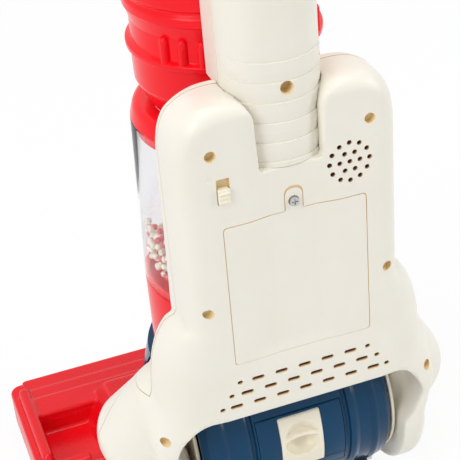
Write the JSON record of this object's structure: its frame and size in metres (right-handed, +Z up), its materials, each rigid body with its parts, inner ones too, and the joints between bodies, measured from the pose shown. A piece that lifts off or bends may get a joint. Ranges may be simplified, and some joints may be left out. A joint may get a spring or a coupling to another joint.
{
  "type": "toy vacuum cleaner",
  "caption": "Upright toy vacuum cleaner: cream casing with battery bay, clear bead bin and red cyclone, reclining over a blue drum with debris drawer and a red floor head.",
  "frame": {"origin": "middle of the bounding box on the floor", "axes": "+Z up, +Y forward towards the floor head, +X to the right of the person pushing"},
  "size_m": [0.294, 0.248, 0.69],
  "materials": {
    "cream": "satin gloss",
    "ivory": "satin",
    "red": "glossy",
    "blue": "glossy",
    "clear": "clear moulded plastic",
    "bead_cream": "glossy",
    "bead_pink": "glossy",
    "black": "matt",
    "steel": "bright plated",
    "cell": "printed sleeve left bare",
    "board": "resin board",
    "motor": "plated can",
    "felt": "felt"
  },
  "bodies": {
    "base": {"drum_shell": "blue", "drum_end_left": "ivory", "drum_end_right": "ivory", "drum_bulkhead": "black", "suction_motor": "motor", "roller_axle": "steel", "neck": "blue", "head_cover": "red", "sole_plate": "black", "glide_strip": "felt", "head_axles": "steel", "head_screws": "steel"},
    "upper": {"rear_casing": "cream", "front_casing": "cream", "stem_rear": "cream", "stem_front": "cream", "stem_collar": "blue", "stem_screw": "steel", "handle_left": "cream", "handle_right": "cream", "handle_screws": "steel", "casing_screws": "steel", "battery_cover": "cream", "cover_screw": "steel", "battery_tray": "ivory", "battery_cells": "cell", "battery_contacts": "steel", "switch_module": "black", "circuit_board": "board", "speaker": "black", "clear_bin": "clear", "bin_base": "red", "bead_motor": "motor", "beads_cream": "bead_cream", "beads_pink": "bead_pink", "cyclone_lid": "red", "cyclone_body": "red", "cyclone_cap": "red", "bin_apron": "blue", "hub_bush_left": "ivory", "hub_bush_right": "ivory"},
    "switch": {"switch_knob": "ivory"},
    "bead_spinner": {"bead_fan": "ivory"},
    "suction_spinner": {"suction_fan": "ivory"},
    "drawer": {"dust_drawer": "blue", "drawer_door": "blue", "drawer_grip": "cream"},
    "roller_left": {"rear_roller_left": "black"},
    "roller_right": {"rear_roller_right": "black"},
    "wheel_left": {"head_wheel_left": "black"},
    "wheel_right": {"head_wheel_right": "black"}
  },
  "joints": [
    {"name": "recline", "type": "hinge", "parent": "base", "child": "upper", "pos_m": [0.012, -0.011, 0.062], "axis": [1, 0, 0], "range_deg": [0, 50]},
    {"name": "switch_slide", "type": "slide", "parent": "upper", "child": "switch", "axis": [0, 0, 1], "range_m": [0, 0.006]},
    {"name": "bead_fan_spin", "type": "hinge", "parent": "upper", "child": "bead_spinner", "pos_m": [0.012, 0.0278, 0.157], "axis": [0, 0, 1], "continuous": true},
    {"name": "suction_fan_spin", "type": "hinge", "parent": "base", "child": "suction_spinner", "pos_m": [0.028, 0.013, 0.062], "axis": [1, 0, 0], "continuous": true},
    {"name": "drawer_slide", "type": "slide", "parent": "base", "child": "drawer", "axis": [0, -1, 0], "range_m": [0, 0.022]},
    {"name": "rear_roller_left_spin", "type": "hinge", "parent": "base", "child": "roller_left", "pos_m": [-0.03425, -0.036, 0.012], "axis": [1, 0, 0], "continuous": true},
    {"name": "rear_roller_right_spin", "type": "hinge", "parent": "base", "child": "roller_right", "pos_m": [0.05825, -0.036, 0.012], "axis": [1, 0, 0], "continuous": true},
    {"name": "head_wheel_left_spin", "type": "hinge", "parent": "base", "child": "wheel_left", "pos_m": [-0.124, 0.04, 0.007], "axis": [1, 0, 0], "continuous": true},
    {"name": "head_wheel_right_spin", "type": "hinge", "parent": "base", "child": "wheel_right", "pos_m": [0.124, 0.04, 0.007], "axis": [1, 0, 0], "continuous": true}
  ]
}
